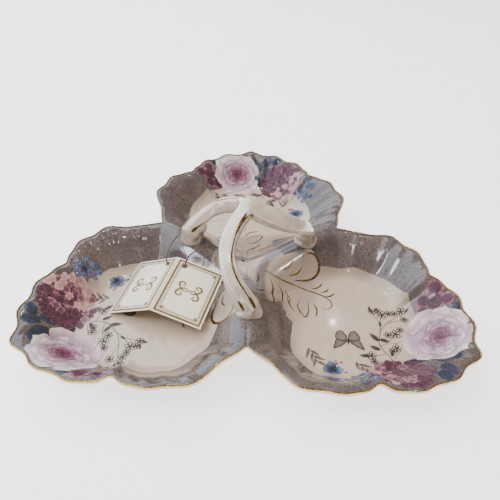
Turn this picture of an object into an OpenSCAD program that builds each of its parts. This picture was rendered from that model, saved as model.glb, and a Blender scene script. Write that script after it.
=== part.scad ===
// Three-lobed porcelain serving dish with a three-armed handle and a folded swing card.
// Millimetres, +Z up. The origin is on the dish's three-fold axis, at table level.

/* [Bowls] */
// Distance from the dish's axis to the centre of each bowl
lobe_offset = 92; // [86:1:100]
// Mean radius of a bowl's outline about its own centre
lobe_r = 87; // [82:1:91]
// How far the outline swells at the tip and the sides, and draws in between
lobe_swell = 5; // [2:0.5:7]
// Length of the small point at the tip of the outline
tip_point = 2.5; // [0:0.5:4]
// Depth of the sharp dip in each shoulder of the outline
shoulder_dip = 8; // [0:0.5:9]
// Width of the ear at each side of the outline
side_ear = 1.5; // [0:0.5:4]
// Depth of the cove beside each notch
notch_cove = 5.5; // [0:0.5:7]
// Height of the small scallops round the rim
scallop_h = 1.3; // [0:0.1:2]
// Rise and fall of the rim along its scallops
ruffle_h = 0.6; // [0:0.1:2]
// How far the rim rises at the ears
ear_rise = 3; // [0:0.5:5]
// How far the rim falls at the tip
tip_fall = 2; // [0:0.5:4]
// Depth of each bowl below its rim
bowl_depth = 24; // [18:1:30]
// Mean radius of the flat floor
well_r = 49; // [46:1:56]
// Thickness of the floor
floor_t = 5; // [3:0.5:7]
// Thickness of the wall at the rim
edge_t = 2.6; // [2:0.2:4]
// How far the ridge between two bowls falls from the notch to the dish's axis
ridge_drop = 9; // [4:1:14]
// Distance from the axis at which the ridge reaches the height of the rim
ridge_run = 78; // [70:1:86]

/* [Rim and feet] */
// Width of the gilt bead on the rim
gilt_w = 2.4; // [1.5:0.1:3.5]
// Height of the gilt bead on the rim
gilt_h = 1; // [0.6:0.1:1.6]
// Height of the foot rings
foot_h = 5; // [3:0.5:8]
// Radius of a foot ring at its middle
foot_r = 37; // [30:1:38]
// Width of a foot ring where it meets the floor
foot_w = 6; // [4:0.5:7]

/* [Handle] */
// Distance from the axis to the foot of each arm
arm_foot_r = 58; // [54:1:64]
// Diameter of an arm
arm_d = 12.5; // [10:0.5:14]
// Width of an arm's spread foot, across the ridge
arm_foot_w = 17; // [15:0.5:20]
// Length of an arm's spread foot, along the ridge
arm_foot_l = 19; // [15:0.5:22]
// Height of an arm's spread foot above the rim
arm_foot_h = 4.5; // [4:0.5:7]
// How far each arm bows to the side
arm_bow = 15; // [8:1:20]
// Height of the crown's centre above the rim
crown_h = 52; // [44:1:62]
// Diameter of the crown
crown_d = 19; // [17:0.5:23]

/* [Card] */
// Width of one leaf, from the crease to its outer edge
leaf_w = 41; // [36:1:44]
// Length of the crease
leaf_l = 58; // [50:1:62]
// Thickness of the card
leaf_t = 0.6; // [0.4:0.1:0.8]
// Diameter of the punched hole in each leaf
hole_d = 4; // [3:0.5:5]
// Distance from the crease to each hole
hole_across = 8; // [6:0.5:10]
// Distance from the top edge to each hole
hole_down = 6.5; // [5:0.5:9]
// Slope of the front leaf below the level
front_tilt = 14; // [10:1:20]
// Slope of the back leaf below the level
back_tilt = 25; // [18:1:32]
// Diameter of the cord
cord_d = 1.2; // [0.8:0.1:1.5]
// Diameter of the knot
knot_d = 3.6; // [2.8:0.2:4.4]

/* [Hidden] */

// Angle from one bowl to the next, and from a bowl to the ridge beside it
lobe_turn = 120;
ridge_turn = lobe_turn / 2;

// Directions of the three bowls, and of the three arms on the ridges between them
rear_az = 90;
left_az = rear_az + lobe_turn;
right_az = left_az + lobe_turn;
right_arm_az = rear_az - ridge_turn;
left_arm_az = rear_az + ridge_turn;
front_arm_az = left_az + ridge_turn;

// Gap left for the bedding slip where an arm sits on the ridge and meets the crown
slip_gap = 0.25;
// Gap between the resting card and the porcelain
rest_gap = 0.4;
// Half of the gap between the two leaves at the crease
crease_gap = 0.4;
// How far a punch runs past each face of the card
punch_over = 1;
// Sides of the round pieces
round_sides = 64;

// Heights above the table
floor_z = foot_h + floor_t;
rim_z = floor_z + bowl_depth;
crown_z = rim_z + crown_h;

// Angles round a bowl's own centre, measured from the outward direction
notch_angle = 180 - ridge_turn;
seam_normal = 90 + ridge_turn;
tip_spread = 5;
shoulder_angle = 54.5;
shoulder_spread = 5;
ear_angle = 84;
ear_spread = 8;
cove_angle = 107;
cove_spread = 6.5;
rise_angle = 76;
rise_spread = 22;
fall_spread = 35;
swell_period = 106;
notch_blend = 10;
ruffle_fade = 20;
scallops = 20;

// Sampling of the bowls
angle_step = 3.75;
inner_steps = 12;
outer_steps = 5;
outline_angles = [-180 : angle_step : 180 - angle_step];
rim_angles = [-notch_angle : angle_step : notch_angle];

function clamp01(t) = max(0, min(1, t));
function ease(t) = let (k = clamp01(t)) k * k * (3 - 2 * k);
function bump(a, centre, spread) = exp(-pow((a - centre) / spread, 2));
function unit(v) = v / norm(v);
function turned(p, az) = [
    p.x * cos(az) - p.y * sin(az),
    p.x * sin(az) + p.y * cos(az),
    p.z
];

// Outline of one bowl: a scalloped rim out to the notches, then a straight seam along each ridge
function rim_curve(a) = lobe_r
    + lobe_swell * cos(360 * a / swell_period)
    + scallop_h * cos(scallops * a)
    + tip_point * bump(a, 0, tip_spread)
    + side_ear * bump(a, ear_angle, ear_spread)
    - shoulder_dip * bump(a, shoulder_angle, shoulder_spread)
    - notch_cove * bump(a, cove_angle, cove_spread);
function rim_r(a) = rim_curve(a)
    + (lobe_offset - rim_curve(notch_angle)) * ease((a - notch_angle) / notch_blend + 1);
function seam_r(a) = lobe_offset * sin(ridge_turn) / cos(a - seam_normal);
function edge_r(phi) = abs(phi) <= notch_angle ? rim_r(abs(phi)) : seam_r(abs(phi));

// Height of the outline: a ruffled rim, and a ridge that falls towards the axis
function rim_wave(a) = ruffle_h * cos(scallops * a)
    + ear_rise * bump(a, rise_angle, rise_spread)
    - tip_fall * bump(a, 0, fall_spread);
function rim_height(a) = rim_z + rim_wave(a) * (1 - ease((a - notch_angle) / ruffle_fade + 1));
function seam_axis_distance(a) = norm([lobe_offset + seam_r(a) * cos(a), seam_r(a) * sin(a)]);
function ridge_height(d) = rim_z - ridge_drop * (1 - ease(d / ridge_run));
function edge_z(phi) = abs(phi) <= notch_angle
    ? rim_height(abs(phi))
    : ridge_height(seam_axis_distance(abs(phi)));

// Inner surface: flat lip, easy curve down the wall, flat floor; k runs from 0 at the lip to 1 at the floor
well_share = well_r / lobe_r;
function lip_r(phi) = edge_r(phi) - gilt_w;
function wall_z(phi, k) = edge_z(phi) + (floor_z - edge_z(phi)) * ease(k);
function wall_t(k) = edge_t + (floor_t - edge_t) * k;
function shrink(k) = 1 - (1 - well_share) * k;

// Height of the dish's inner surface at a point
function dish_z(x, y) =
    let (
        turn = atan2(y, x) - rear_az,
        a = turn - lobe_turn * round(turn / lobe_turn),
        d = norm([x, y]),
        s = d * cos(a) - lobe_offset,
        t = d * sin(a),
        phi = atan2(t, s),
        k = clamp01((1 - norm([s, t]) / lip_r(phi)) / (1 - well_share))
    )
    wall_z(phi, k);

// Joins a stack of equal closed rings, with a point at each end
function stack_faces(rings, sides) = concat(
    [for (j = [0 : sides - 1]) [0, 1 + (j + 1) % sides, 1 + j]],
    [for (i = [0 : rings - 2], j = [0 : sides - 1])
        let (a = 1 + i * sides + j, b = 1 + i * sides + (j + 1) % sides)
        each [[a, b, b + sides], [a, b + sides, a + sides]]],
    [for (j = [0 : sides - 1])
        let (last = 1 + (rings - 1) * sides)
        [1 + rings * sides, last + j, last + (j + 1) % sides]]
);

module ring_stack(first, rings, last) {
    polyhedron(
        points = concat([first], [for (ring = rings) each ring], [last]),
        faces = stack_faces(len(rings), len(rings[0])),
        convexity = 10
    );
}

function polar(r, phi, z) = [lobe_offset + r * cos(phi), r * sin(phi), z];

// One bowl with its axis along X: rings from the floor up to the lip, over the edge and back below
module bowl(az) {
    inner = [for (i = [inner_steps : -1 : 0])
        let (k = i / inner_steps)
        [for (phi = outline_angles) polar(lip_r(phi) * shrink(k), phi, wall_z(phi, k))]];
    edge = [for (phi = outline_angles) polar(edge_r(phi), phi, edge_z(phi))];
    outer = [for (i = [0 : outer_steps])
        let (k = i / outer_steps)
        [for (phi = outline_angles) polar(edge_r(phi) * shrink(k), phi, wall_z(phi, k) - wall_t(k))]];
    color("gainsboro")
        rotate(az)
            ring_stack(
                [lobe_offset, 0, floor_z],
                concat(inner, [edge], outer),
                [lobe_offset, 0, foot_h]
            );
}

// Gilt bead lying on the lip from notch to notch; its section is in shares of its width and height
bead_section = [[0, 0], [0.15, 0.6], [0.5, 1], [0.85, 0.6], [1, 0]];
module gilt_edge(az) {
    sides = len(bead_section);
    points = [for (phi = rim_angles, s = bead_section)
        polar(lip_r(phi) + gilt_w * s[0], phi, edge_z(phi) + gilt_h * s[1])];
    count = len(points) / sides;
    walls = [for (i = [0 : count - 2], j = [0 : sides - 1])
        let (a = i * sides + j, b = i * sides + (j + 1) % sides)
        each [[a, a + sides, b], [b, a + sides, b + sides]]];
    start = [for (j = [0 : sides - 1]) j];
    end = [for (j = [sides - 1 : -1 : 0]) (count - 1) * sides + j];
    color("goldenrod")
        rotate(az)
            polyhedron(points = points, faces = concat(walls, [start, end]), convexity = 10);
}

// Foot ring with a flat resting face narrower than its top
foot_taper = 1;
module foot_ring(az) {
    color("whitesmoke")
        rotate(az)
            translate([lobe_offset, 0, 0])
                rotate_extrude($fn = round_sides)
                    polygon([
                        [foot_r - foot_w / 2 + foot_taper, 0],
                        [foot_r + foot_w / 2 - foot_taper, 0],
                        [foot_r + foot_w / 2, foot_h],
                        [foot_r - foot_w / 2, foot_h]
                    ]);
}

// Arm of the handle: a round bar along a curve that starts over the ridge and runs to the crown.
// Local axes: outward, along the rim, up.
arm_sides = 16;
arm_rings = 18;
arm_foot_shift = 1;
crown_pos = [0, 0, crown_z];
// Share of the curve that the bar follows, and of it that the foot's flare takes
arm_end = 0.9;
flare_end = 0.22;
// Share of the foot's spread that the bar takes up where it starts
flare_share = 0.5;
// Rings on the faces that close the bar's two ends
cap_shares = [0.25, 0.5, 0.75];
// Shares of the arm's reach, bow and rise at the two middle points of its curve
arm_knee_shares = [0.92, 1, 0.58];
arm_neck_shares = [0.44, 1.75, 0.63];
arm_curve = [
    [arm_foot_r, arm_foot_shift, rim_z + arm_foot_h],
    [arm_foot_r * arm_knee_shares[0], -arm_bow * arm_knee_shares[1], rim_z + crown_h * arm_knee_shares[2]],
    [arm_foot_r * arm_neck_shares[0], -arm_bow * arm_neck_shares[1], rim_z + crown_h * arm_neck_shares[2]],
    crown_pos
];
// Direction that the first side of the bar faces
arm_reference = [0.8, 0, 0.6];

function bezier(p, t) = pow(1 - t, 3) * p[0]
    + 3 * pow(1 - t, 2) * t * p[1]
    + 3 * (1 - t) * t * t * p[2]
    + pow(t, 3) * p[3];
function bezier_direction(p, t) = unit(
    pow(1 - t, 2) * (p[1] - p[0])
    + 2 * (1 - t) * t * (p[2] - p[1])
    + t * t * (p[3] - p[2])
);
function arm_radius(t, foot) = arm_d / 2
    + flare_share * (foot - arm_d) / 2 * pow(1 - clamp01(t / flare_end), 2);
function arm_point(t, angle, share) =
    let (
        d = bezier_direction(arm_curve, t),
        u = unit(arm_reference - (arm_reference * d) * d),
        v = cross(d, u)
    )
    bezier(arm_curve, t)
        + share * arm_radius(t, arm_foot_l) * cos(angle) * u
        + share * arm_radius(t, arm_foot_w) * sin(angle) * v;

// Point of the arm's foot on the ridge, and of its seat on the crown
function foot_point(az, angle, share) =
    let (p = turned([
        arm_foot_r + share * arm_foot_l / 2 * cos(angle),
        arm_foot_shift + share * arm_foot_w / 2 * sin(angle),
        0
    ], az))
    [p.x, p.y, dish_z(p.x, p.y) + slip_gap];
function seat_point(angle, share) =
    let (
        p = arm_point(arm_end, angle, share),
        d = bezier_direction(arm_curve, arm_end),
        b = (p - crown_pos) * d,
        c = pow(norm(p - crown_pos), 2) - pow(crown_d / 2 + slip_gap, 2)
    )
    p + (-b - sqrt(b * b - c)) * d;

module handle_arm(az) {
    angles = [for (j = [0 : arm_sides - 1]) 360 * j / arm_sides];
    foot = [for (share = concat(cap_shares, [1])) [for (a = angles) foot_point(az, a, share)]];
    bar = [for (i = [0 : arm_rings])
        [for (a = angles) turned(arm_point(arm_end * i / arm_rings, a, 1), az)]];
    seat = [for (i = [len(cap_shares) : -1 : 0])
        let (share = concat(cap_shares, [1])[i])
        [for (a = angles) turned(seat_point(a, share), az)]];
    rings = concat(foot, bar, seat);
    color("ivory")
        ring_stack(
            turned(seat_point(0, 0), az),
            [for (i = [len(rings) - 1 : -1 : 0]) rings[i]],
            foot_point(az, 0, 0)
        );
}

module handle_crown() {
    color("ivory")
        translate(crown_pos)
            sphere(d = crown_d, $fn = round_sides);
}

// Folded card lying in the left bowl as a low tent, its crease uppermost.
// Local axes of the crease: along it towards the top edge, across it to the back leaf, up.
crease_from_bowl = [13.5, 18];
crease_az = 75;
crease_rise = 4.5;
bowl_centre = turned([lobe_offset, 0, 0], left_az);
edge_samples = 8;

function on_tent(along, across) =
    let (
        tilt = across < 0 ? front_tilt : back_tilt,
        y = across * cos(tilt),
        drop = -abs(across) * sin(tilt)
    )
    turned([
        along * cos(crease_rise) - drop * sin(crease_rise),
        y,
        along * sin(crease_rise) + drop * cos(crease_rise)
    ], crease_az);

// The crease is as high as it has to be for the outer edges to clear the porcelain
tent_edge = [for (i = [0 : edge_samples], across = [-leaf_w, leaf_w])
    on_tent(leaf_l * (i / edge_samples - 0.5), across)];
crease_x = bowl_centre.x + crease_from_bowl[0];
crease_y = bowl_centre.y + crease_from_bowl[1];
crease_z = max([for (p = tent_edge)
    dish_z(crease_x + p.x, crease_y + p.y) + rest_gap + leaf_t - p.z]);

module leaf(side, tilt) {
    color("oldlace")
        translate([crease_x, crease_y, crease_z])
            rotate([0, 0, crease_az])
                rotate([0, -crease_rise, 0])
                    rotate([-side * tilt, 0, 0])
                        difference() {
                            translate([-leaf_l / 2, side > 0 ? crease_gap : -leaf_w, -leaf_t])
                                cube([leaf_l, leaf_w - crease_gap, leaf_t]);
                            translate([leaf_l / 2 - hole_down, side * hole_across, -leaf_t - punch_over])
                                cylinder(d = hole_d, h = leaf_t + 2 * punch_over, $fn = round_sides);
                        }
}

module tag_front_leaf() {
    leaf(-1, front_tilt);
}

module tag_back_leaf() {
    leaf(1, back_tilt);
}

// Cord from the knot under the crease, up through the back leaf, round the left arm's foot,
// and down through the front leaf to the knot again. Heights are above the table.
cord_route = [
    [-61.5, -6, 25],
    [-65.5, -4.5, 25.5],
    [-67, -3.5, 29],
    [-69, -4, 33.5],
    [-68.5, 1, 36.5],
    [-66, 11, 38],
    [-62.5, 23, 37.5],
    [-62.5, 32, 36.5],
    [-57, 39, 36],
    [-47, 39, 36],
    [-41.5, 33, 36.5],
    [-41, 22, 37],
    [-44, 6, 37.5],
    [-50, -4, 37],
    [-51.7, -7.5, 34],
    [-52.5, -7.1, 30.5],
    [-53.3, -6.6, 27],
    [-56.5, -6.5, 25],
    [-59.5, -6, 25]
];
knot_pos = (cord_route[0] + cord_route[len(cord_route) - 1]) / 2;
cord_sides = 8;
cord_steps = 3;

function spline(p, i, t) =
    let (
        n = len(p) - 1,
        a = p[max(0, i - 1)],
        b = p[i],
        c = p[i + 1],
        d = p[min(n, i + 2)]
    )
    0.5 * (2 * b + (c - a) * t + (2 * a - 5 * b + 4 * c - d) * t * t + (3 * b - a - 3 * c + d) * t * t * t);
cord_line = concat(
    [for (i = [0 : len(cord_route) - 2], j = [0 : cord_steps - 1]) spline(cord_route, i, j / cord_steps)],
    [cord_route[len(cord_route) - 1]]
);
function line_direction(p, i) = unit(p[min(len(p) - 1, i + 1)] - p[max(0, i - 1)]);
// Direction that no stretch of the cord follows
cord_reference = [0.3, 0.2, 0.93];

module tag_cord() {
    rings = [for (i = [len(cord_line) - 1 : -1 : 0])
        let (
            d = line_direction(cord_line, i),
            u = unit(cross(d, cord_reference)),
            v = cross(d, u)
        )
        [for (j = [0 : cord_sides - 1])
            let (a = 360 * j / cord_sides)
            cord_line[i] + cord_d / 2 * (cos(a) * u + sin(a) * v)]];
    color("darkgoldenrod")
        ring_stack(cord_line[len(cord_line) - 1], rings, cord_line[0]);
}

module tag_knot() {
    color("darkgoldenrod")
        translate(knot_pos)
            sphere(d = knot_d, $fn = round_sides);
}

bowl(rear_az);  // rear_bowl
bowl(left_az);  // left_bowl
bowl(right_az);  // right_bowl
gilt_edge(rear_az);  // rear_gilt_edge
gilt_edge(left_az);  // left_gilt_edge
gilt_edge(right_az);  // right_gilt_edge
foot_ring(rear_az);  // rear_foot_ring
foot_ring(left_az);  // left_foot_ring
foot_ring(right_az);  // right_foot_ring
handle_arm(front_arm_az);  // front_handle_arm
handle_arm(left_arm_az);  // left_handle_arm
handle_arm(right_arm_az);  // right_handle_arm
handle_crown();
tag_front_leaf();
tag_back_leaf();
tag_cord();
tag_knot();
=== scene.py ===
"""Looks of a three-lobed porcelain serving dish with an arched handle and a swing card."""
import math

import bmesh
import bpy
import numpy as np
from mathutils import Matrix, Vector
from mathutils.bvhtree import BVHTree


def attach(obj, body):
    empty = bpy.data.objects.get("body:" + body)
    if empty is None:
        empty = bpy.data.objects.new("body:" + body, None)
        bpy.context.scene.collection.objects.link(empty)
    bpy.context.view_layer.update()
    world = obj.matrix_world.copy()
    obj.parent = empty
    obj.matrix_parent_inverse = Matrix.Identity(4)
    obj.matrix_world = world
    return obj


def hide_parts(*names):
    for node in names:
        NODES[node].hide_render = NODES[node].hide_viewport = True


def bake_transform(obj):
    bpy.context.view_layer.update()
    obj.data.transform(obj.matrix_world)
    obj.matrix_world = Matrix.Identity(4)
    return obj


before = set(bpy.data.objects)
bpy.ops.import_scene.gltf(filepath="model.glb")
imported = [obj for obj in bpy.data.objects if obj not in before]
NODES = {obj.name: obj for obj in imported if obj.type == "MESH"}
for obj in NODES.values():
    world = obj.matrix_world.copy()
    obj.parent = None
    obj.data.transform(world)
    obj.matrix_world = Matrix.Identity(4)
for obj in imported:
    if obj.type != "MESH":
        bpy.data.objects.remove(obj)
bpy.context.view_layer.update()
MM = 0.001
rng = np.random.default_rng(7)

# Camera of the photograph: focal length and frame in pixels, angles in degrees, place in mm
FOCAL_PX, FRAME_PX, SENSOR = 476.8, 500, 36
PITCH, YAW, ROLL = 39.87, -0.65, 2.28
CAMERA_MM = (-2.7, -301.2, 294.9)


def link(name, data):
    """Object with this data, put into the scene."""
    made = bpy.data.objects.new(name, data)
    bpy.context.scene.collection.objects.link(made)
    return made


def spin(angle, axis):
    return Matrix.Rotation(math.radians(angle), 4, axis)


def add_camera():
    data = bpy.data.cameras.new("camera")
    data.sensor_width = SENSOR
    data.lens = FOCAL_PX / FRAME_PX * SENSOR
    cam = link("camera", data)
    turns = spin(YAW, "Z") @ spin(90 - PITCH, "X") @ spin(ROLL, "Z")
    cam.matrix_world = Matrix.Translation(Vector(CAMERA_MM) * MM) @ turns
    bpy.context.scene.camera = cam


add_camera()


# Levels that the view's tone curve shows for a few brightnesses, and the light that falls on the dish
SHOWN = (0, 18, 31, 51, 64, 82, 100, 118, 135, 153, 170, 183, 197, 207, 218, 226, 235)
BRIGHTNESS = (0, 0.01, 0.02, 0.04, 0.06, 0.09, 0.13, 0.18, 0.25, 0.35, 0.5, 0.7, 1, 1.4, 2, 3, 4.5)
LIGHT_LEVEL, LIGHTEST = 2.0, 0.9


def rgb(r, g, b):
    """Surface colour that shows as this 8-bit screen colour in the dish's light."""
    return np.minimum(np.interp((r, g, b), SHOWN, BRIGHTNESS) / LIGHT_LEVEL, LIGHTEST)


# Helpers for meshes: all places are in mm until a mesh is made
TUBE_SIDES, TUBE_REFERENCE = 14, (0.3, 0.2, 0.9)


def grid_faces(rows, cols, closed=False):
    i, j = np.meshgrid(np.arange(rows - 1), np.arange(cols if closed else cols - 1), indexing="ij")
    a, b = i * cols + j, i * cols + (j + 1) % cols
    return np.stack([a, b, b + cols, a + cols], -1).reshape(-1, 4)


def tube_faces(rows, sides):
    """Faces of a row of rings, closed by one more point at each end."""
    n = rows * sides
    last = n - sides
    faces = grid_faces(rows, sides, closed=True).tolist()
    faces += [[n, (j + 1) % sides, j] for j in range(sides)]
    return faces + [[n + 1, last + j, last + (j + 1) % sides] for j in range(sides)]


def make_piece(name, verts, faces, body, materials):
    mesh = bpy.data.meshes.new(name)
    mesh.from_pydata((np.asarray(verts, float) * MM).tolist(), [], [list(map(int, f)) for f in faces])
    mesh.polygons.foreach_set("use_smooth", np.ones(len(mesh.polygons), bool))
    for m in materials:
        mesh.materials.append(m)
    piece = link(name, mesh)
    if body:
        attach(piece, body)
    return piece


def dress(node, material):
    """Gives one of the solids this material."""
    node.data.materials.clear()
    node.data.materials.append(material)


def set_uv(mesh, per_vertex, other=None, turned_over=None):
    """Gives each vertex its place in the bake, or the other place on faces that are turned over."""
    loops = np.zeros(len(mesh.loops), np.int64)
    mesh.loops.foreach_get("vertex_index", loops)
    uv = np.asarray(per_vertex)[loops]
    if other is not None:
        sides = [len(f.vertices) for f in mesh.polygons]
        uv = np.where(np.repeat(turned_over, sides)[:, None], np.asarray(other)[loops], uv)
    layer = mesh.uv_layers.new(name="OFBake")
    layer.data.foreach_set("uv", uv.astype(np.float32).ravel())


def set_colour(mesh, per_vertex):
    layer = mesh.color_attributes.new("tint", "FLOAT_COLOR", "POINT")
    rgba = np.ones((len(mesh.vertices), 4), np.float32)
    rgba[:, :3] = per_vertex
    layer.data.foreach_set("color", rgba.ravel())


def catmull(points, steps, closed=False):
    """Smooth line through the points."""
    p = np.asarray(points, float)
    n = len(p)
    before, after = (p[-1:], p[:2]) if closed else (2 * p[:1] - p[1:2], 2 * p[-1:] - p[-2:-1])
    q = np.vstack([before, p, after])
    spans = n if closed else n - 1
    t = np.arange(steps)[:, None] / steps
    out = [0.5 * (2 * q[i + 1] + (q[i + 2] - q[i]) * t
                  + (2 * q[i] - 5 * q[i + 1] + 4 * q[i + 2] - q[i + 3]) * t ** 2
                  + (3 * q[i + 1] - q[i] - 3 * q[i + 2] + q[i + 3]) * t ** 3) for i in range(spans)]
    return np.vstack(out + ([] if closed else [p[-1:]]))


def resample(points, spacing):
    p = np.asarray(points, float)
    run = np.concatenate([[0], np.cumsum(np.linalg.norm(np.diff(p, axis=0), axis=1))])
    at = np.linspace(0, run[-1], max(3, int(run[-1] / spacing) + 1))
    return np.stack([np.interp(at, run, p[:, i]) for i in range(p.shape[1])], -1)


def unit(v):
    return v / np.maximum(np.linalg.norm(v, axis=-1, keepdims=True), 1e-12)


def line_frames(path):
    """Two normals along a line, turning as little as they can."""
    t = unit(np.gradient(path, axis=0))
    u = np.zeros_like(t)
    u[0] = unit(np.cross(t[0], TUBE_REFERENCE))
    for i in range(1, len(t)):
        u[i] = unit(u[i - 1] - t[i] * (u[i - 1] @ t[i]))
    return u, np.cross(t, u)


def sweep(path, section):
    """Tube along a path; section(i, angles) gives the radius round each ring."""
    u, v = line_frames(path)
    a = np.arange(TUBE_SIDES) * 2 * math.pi / TUBE_SIDES
    rings = [path[i] + section(i, a)[:, None] * (np.cos(a)[:, None] * u[i] + np.sin(a)[:, None] * v[i])
             for i in range(len(path))]
    verts = np.vstack(rings + [path[:1], path[-1:]])
    return verts, tube_faces(len(path), TUBE_SIDES)


# Materials
class Nodes:
    """Short hand for one material's nodes."""

    def __init__(self, name):
        self.mat = bpy.data.materials.new(name)
        self.mat.use_nodes = True
        self.tree = self.mat.node_tree
        self.shader = self.tree.nodes["Principled BSDF"]

    def add(self, kind, inputs=None, **settings):
        node = self.tree.nodes.new(kind)
        for key, value in settings.items():
            setattr(node, key, value)
        for key, value in (inputs or {}).items():
            self.put(node.inputs[key], value)
        return node

    def put(self, socket, value):
        if isinstance(value, bpy.types.NodeSocket):
            self.tree.links.new(value, socket)
        else:
            socket.default_value = value

    def place(self):
        return self.add("ShaderNodeTexCoord").outputs["Object"]

    def noise(self, scale, detail=3.0, rough=0.5, at=None, warp=0.0):
        return self.add("ShaderNodeTexNoise", {"Vector": at or self.place(), "Scale": scale, "Detail": detail,
                                               "Roughness": rough, "Distortion": warp}).outputs["Fac"]

    def span(self, value, lo, hi, to_lo=0.0, to_hi=1.0):
        return self.add("ShaderNodeMapRange", {0: value, 1: lo, 2: hi, 3: to_lo, 4: to_hi},
                        interpolation_type="SMOOTHSTEP").outputs[0]

    def vary(self, scale, lo, hi):
        """Value that wanders between two limits."""
        return self.span(self.noise(scale), 0.3, 0.7, lo, hi)

    def math(self, op, a, b):
        return self.add("ShaderNodeMath", {0: a, 1: b}, operation=op).outputs[0]

    def mix(self, share, a, b, blend="MIX"):
        def colour(c):
            return c if isinstance(c, bpy.types.NodeSocket) else (*[float(x) for x in c], 1)
        node = self.add("ShaderNodeMix", data_type="RGBA", blend_type=blend)
        for i, value in ((0, share), (6, colour(a)), (7, colour(b))):
            self.put(node.inputs[i], value)
        return node.outputs[2]

    def bump(self, height, strength, distance):
        return self.add("ShaderNodeBump", {"Strength": strength, "Distance": distance,
                                           "Height": height}).outputs["Normal"]

    def surface(self, **inputs):
        for key, value in inputs.items():
            self.put(self.shader.inputs[key.replace("_", " ")], value)
        return self.mat


WHITE = rgb(199, 191, 182)
# Beige: partly the print's airbrushed tint near the white paint's edge, partly painted shade; over the white
# leaf it is painted shade
BEIGE_TINT_AND_SHADE = rgb(172, 156, 142)
# Crackle of the walls: cells per metre, width of the lines, their colour and their strength
CRACKLE = ((270.0, 0.17, rgb(160, 148, 141), 0.62), (450.0, 0.16, rgb(142, 131, 126), 0.36))


def glaze_inside():
    n = Nodes("painted_glaze")
    at = n.place()
    edge, veil, leaf = (n.add("ShaderNodeAttribute", attribute_name=name).outputs["Fac"]
                        for name in ("white_edge", "veil", "leaf"))
    ragged = n.math("ADD", edge, n.span(n.noise(900, 2), 0.3, 0.7, -0.15, 0.15))
    grey_share = n.span(ragged, -0.25, 0.25)
    cloud = n.noise(22, 4, 0.6, at)
    lilac = n.mix(n.span(cloud, 0.35, 0.68), rgb(114, 100, 95), rgb(136, 124, 122))
    fine = n.span(n.noise(260, 4, 0.7, at), 0.3, 0.75)
    lilac = n.mix(fine, lilac, n.mix(0.5, lilac, rgb(93, 78, 71)))
    warp = n.add("ShaderNodeTexNoise", {"Vector": at, "Scale": 90.0, "Detail": 3.0}).outputs["Color"]
    push = n.add("ShaderNodeVectorMath", {0: warp, "Scale": 0.005}, operation="SCALE").outputs[0]
    bent = n.add("ShaderNodeVectorMath", {0: at, 1: push}, operation="ADD").outputs[0]
    for scale, width, colour, most in CRACKLE:
        cells = n.add("ShaderNodeTexVoronoi", {"Vector": bent, "Scale": scale}, feature="DISTANCE_TO_EDGE")
        vein = n.span(cells.outputs["Distance"], 0.0, width, most, 0.0)
        vein = n.math("MULTIPLY", vein, n.span(n.noise(60, 2, 0.5, at), 0.3, 0.6))
        lilac = n.mix(vein, lilac, colour)
    # Beige near the white paint's edge is partly airbrushed tint and partly painted shade; beige over the
    # white leaf under the handle is painted shade
    beige_airbrush_and_shade = n.math("MULTIPLY", n.span(edge, -14.0, 0.0), n.span(n.noise(18, 2), 0.4, 0.65, 0.0, 0.75))
    beige_airbrush_and_shade = n.math("MAXIMUM", beige_airbrush_and_shade, n.span(leaf, -3.0, 9.0, 0.0, 0.58))
    white = n.mix(beige_airbrush_and_shade, WHITE, BEIGE_TINT_AND_SHADE)
    white = n.mix(n.span(veil, -1.5, 2.5, 0.0, 0.85), white, rgb(148, 141, 142))
    colour = n.mix(grey_share, white, lilac)
    waves = n.math("ADD", n.noise(70, 1), n.math("MULTIPLY", n.noise(300), 0.03))
    return n.surface(Base_Color=colour, Roughness=n.vary(120, 0.1, 0.16),
                     Coat_Weight=0.35, Coat_Roughness=0.04, IOR=1.5, Normal=n.bump(waves, 0.5, 0.0007))


def glaze_white(name, colour, shade, foot=False):
    n = Nodes(name)
    base = n.mix(n.span(n.noise(35, 4, 0.6), 0.35, 0.7), colour, shade)
    speck = n.span(n.noise(1400, 2), 0.7, 0.76, 0.0, 0.35)
    base = n.mix(speck, base, shade * 0.6)
    rough = n.vary(150, 0.05, 0.11)
    if foot:
        height = n.add("ShaderNodeSeparateXYZ", {0: n.place()}).outputs["Z"]
        ragged = n.math("ADD", height, n.vary(400, -0.0004, 0.0004))
        bare = n.span(ragged, 0.0006, 0.0011, 1.0, 0.0)
        base = n.mix(bare, base, n.mix(n.noise(900, 4), rgb(190, 178, 160), rgb(172, 158, 138)))
        rough = n.math("ADD", rough, n.math("MULTIPLY", bare, 0.6))
    return n.surface(Base_Color=base, Roughness=rough, IOR=1.5, Coat_Weight=1.0, Coat_Roughness=0.03,
                     Coat_IOR=1.9, Normal=n.bump(n.noise(240), 0.04, 0.0004))


def gold_paint(name, bright, dark, metallic=1.0, rough=0.16):
    n = Nodes(name)
    worn = n.span(n.noise(700, 4, 0.65), 0.35, 0.7)
    return n.surface(Base_Color=n.mix(worn, bright, dark), Metallic=metallic,
                     Roughness=n.vary(1100, rough, rough + 0.2),
                     Normal=n.bump(n.noise(1600), 0.25, 0.0002))


def print_ink():
    n = Nodes("print_under_glaze")
    tint = n.add("ShaderNodeVertexColor", layer_name="tint").outputs["Color"]
    grain = n.span(n.noise(2200, 2), 0.35, 0.7)
    tint = n.mix(n.math("MULTIPLY", grain, 0.12), tint, rgb(200, 190, 186))
    wash = n.span(n.noise(420, 4, 0.7), 0.35, 0.7, 0.0, 0.34)
    tint = n.mix(wash, tint, n.mix(1.0, tint, (0.62, 0.56, 0.62), "MULTIPLY"))
    return n.surface(Base_Color=tint, Roughness=n.vary(120, 0.07, 0.13),
                     Coat_Weight=0.1, Coat_Roughness=0.04, IOR=1.5, Specular_IOR_Level=0.22)


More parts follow.
